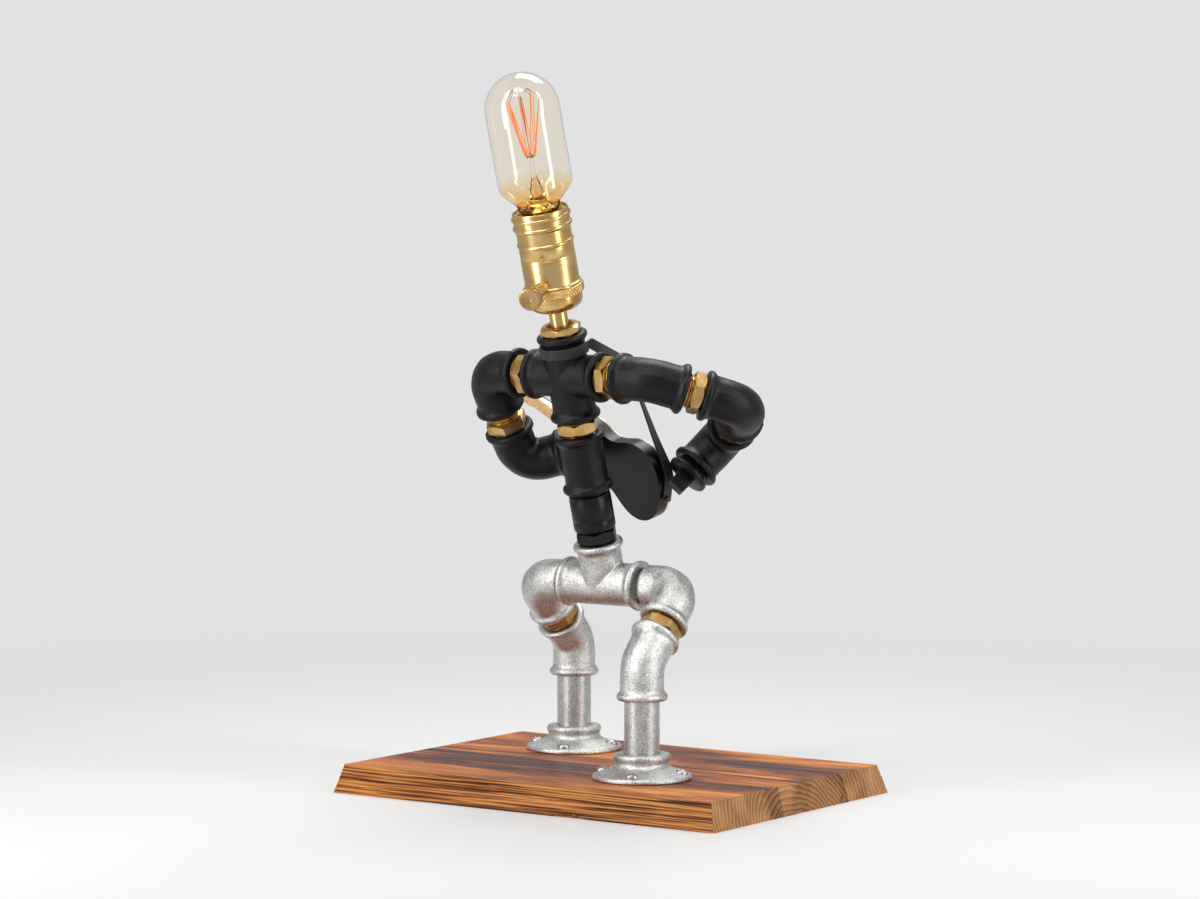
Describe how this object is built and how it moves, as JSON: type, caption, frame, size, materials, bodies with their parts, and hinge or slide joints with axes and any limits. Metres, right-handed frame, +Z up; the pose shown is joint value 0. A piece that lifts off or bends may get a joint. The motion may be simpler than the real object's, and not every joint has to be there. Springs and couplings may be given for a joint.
{
  "type": "desk lamp",
  "caption": "Desk lamp shaped as a standing figure of pipe fittings with a small guitar, on a wooden board, with a brass turn-switch lampholder and tubular bulb as its head.",
  "frame": {"origin": "centre of the board's underside", "axes": "+Z up, +X along the board's long side towards the figure's right hand, +Y where the figure faces"},
  "size_m": [0.2798, 0.201, 0.4398],
  "materials": {
    "burnt_wood": "torch-burnt, oiled and varnished softwood",
    "galvanized_iron": "hot-dip galvanized cast surface",
    "zinc_screw": "zinc plated",
    "brass": "turned brass, semi-bright",
    "black_iron": "black spray paint, satin, over cast iron",
    "porcelain": "glazed porcelain",
    "bulb_glass": "clear blown glass",
    "bulb_cap_metal": "pressed sheet",
    "black_glass": "vitrite glass",
    "filament_wire": "warm wire",
    "dark_lacquer": "dark gloss lacquer",
    "spruce": "clear satin lacquer",
    "dark_wood": "satin",
    "bone": "polished",
    "string_wire": "drawn wire",
    "strap_leather": "smooth dark leather"
  },
  "bodies": {
    "stand": {"base_board": "burnt_wood", "flange_left": "galvanized_iron", "flange_right": "galvanized_iron", "flange_screws": "zinc_screw", "shin_pipe_left": "galvanized_iron", "shin_pipe_right": "galvanized_iron", "knee_elbow_left": "galvanized_iron", "knee_elbow_right": "galvanized_iron", "thigh_nipple_left": "brass", "thigh_nipple_right": "brass", "hip_elbow_left": "galvanized_iron", "hip_elbow_right": "galvanized_iron", "hip_tee": "galvanized_iron", "waist_nipple": "black_iron", "waist_socket": "black_iron", "belly_nipple": "black_iron", "torso_coupling": "black_iron", "chest_nipple": "brass", "shoulder_cross": "black_iron", "shoulder_nipple_left": "brass", "shoulder_nipple_right": "brass", "neck_reducer": "brass", "guitar_body": "dark_lacquer", "guitar_top": "spruce", "guitar_neck": "spruce", "fretboard": "dark_wood", "guitar_bridge": "dark_wood", "guitar_nut": "bone", "guitar_strings": "string_wire", "tuning_pegs": "string_wire", "end_pin": "dark_wood", "guitar_strap": "strap_leather"},
    "left_upper_arm": {"left_upper_elbow": "black_iron", "left_arm_nipple": "brass"},
    "left_forearm": {"left_lower_elbow": "black_iron", "left_hand_plug": "black_iron"},
    "right_upper_arm": {"right_upper_elbow": "black_iron", "right_arm_nipple": "brass"},
    "right_bend": {"right_elbow": "black_iron", "right_wrist_nipple": "brass"},
    "right_forearm": {"right_forearm_elbow": "black_iron", "right_hand_plug": "black_iron"},
    "lampholder": {"lamp_stem": "brass", "lampholder_cap": "brass", "lampholder_ring": "brass", "lampholder_shell": "brass", "shade_ring_lower": "brass", "shade_ring_upper": "brass", "porcelain_insert": "porcelain", "screw_shell": "brass", "centre_contact": "brass"},
    "switch": {"switch_shaft": "brass", "switch_knob": "brass"},
    "bulb_base": {"bulb_insulator": "black_glass", "bulb_contact": "bulb_cap_metal"},
    "bulb": {"bulb_glass": "bulb_glass", "bulb_cap": "bulb_cap_metal", "bulb_stem": "bulb_glass", "filament": "filament_wire", "filament_supports": "filament_wire"}
  },
  "joints": [
    {"name": "left_shoulder_swivel", "type": "hinge", "parent": "stand", "child": "left_upper_arm", "pos_m": [-0.03447, -0.03257, 0.25801], "axis": [0.9988, -0.0468, -0.0139], "range_deg": [-45, 0]},
    {"name": "left_elbow_swivel", "type": "hinge", "parent": "left_upper_arm", "child": "left_forearm", "pos_m": [-0.07131, -0.01604, 0.23475], "axis": [0.013, 0.5281, -0.8491], "range_deg": [0, 45]},
    {"name": "right_shoulder_swivel", "type": "hinge", "parent": "stand", "child": "right_upper_arm", "pos_m": [0.01967, -0.03511, 0.25726], "axis": [0.9988, -0.0468, -0.0139], "range_deg": [-30, 60]},
    {"name": "right_elbow_swivel", "type": "hinge", "parent": "right_upper_arm", "child": "right_bend", "pos_m": [0.07019, -0.02301, 0.25081], "axis": [0.7334, 0.6232, -0.2714], "range_deg": [-30, 30]},
    {"name": "right_wrist_swivel", "type": "hinge", "parent": "right_bend", "child": "right_forearm", "pos_m": [0.07972, 0.01981, 0.23143], "axis": [-0.6796, 0.6628, -0.3144], "range_deg": [-30, 0]},
    {"name": "head_turn", "type": "hinge", "parent": "stand", "child": "lampholder", "pos_m": [-0.0074, -0.04154, 0.28362], "axis": [0, -0.284, 0.9588], "range_deg": [-90, 90]},
    {"name": "switch_turn", "type": "hinge", "parent": "lampholder", "child": "switch", "pos_m": [-0.0074, -0.05117, 0.31612], "axis": [0.2672, -0.9239, -0.2737], "continuous": true},
    {"name": "bulb_lift", "type": "slide", "parent": "lampholder", "child": "bulb_base", "axis": [0, -0.284, 0.9588], "range_m": [0, 0.0145]},
    {"name": "bulb_turn", "type": "hinge", "parent": "bulb_base", "child": "bulb", "pos_m": [-0.0074, -0.05858, 0.34115], "axis": [0, -0.284, 0.9588], "range_deg": [0, 1440]}
  ],
  "couplings": [
    {"joint": "bulb_turn", "follows": "bulb_lift", "rad_per_m": 1730.9}
  ]
}
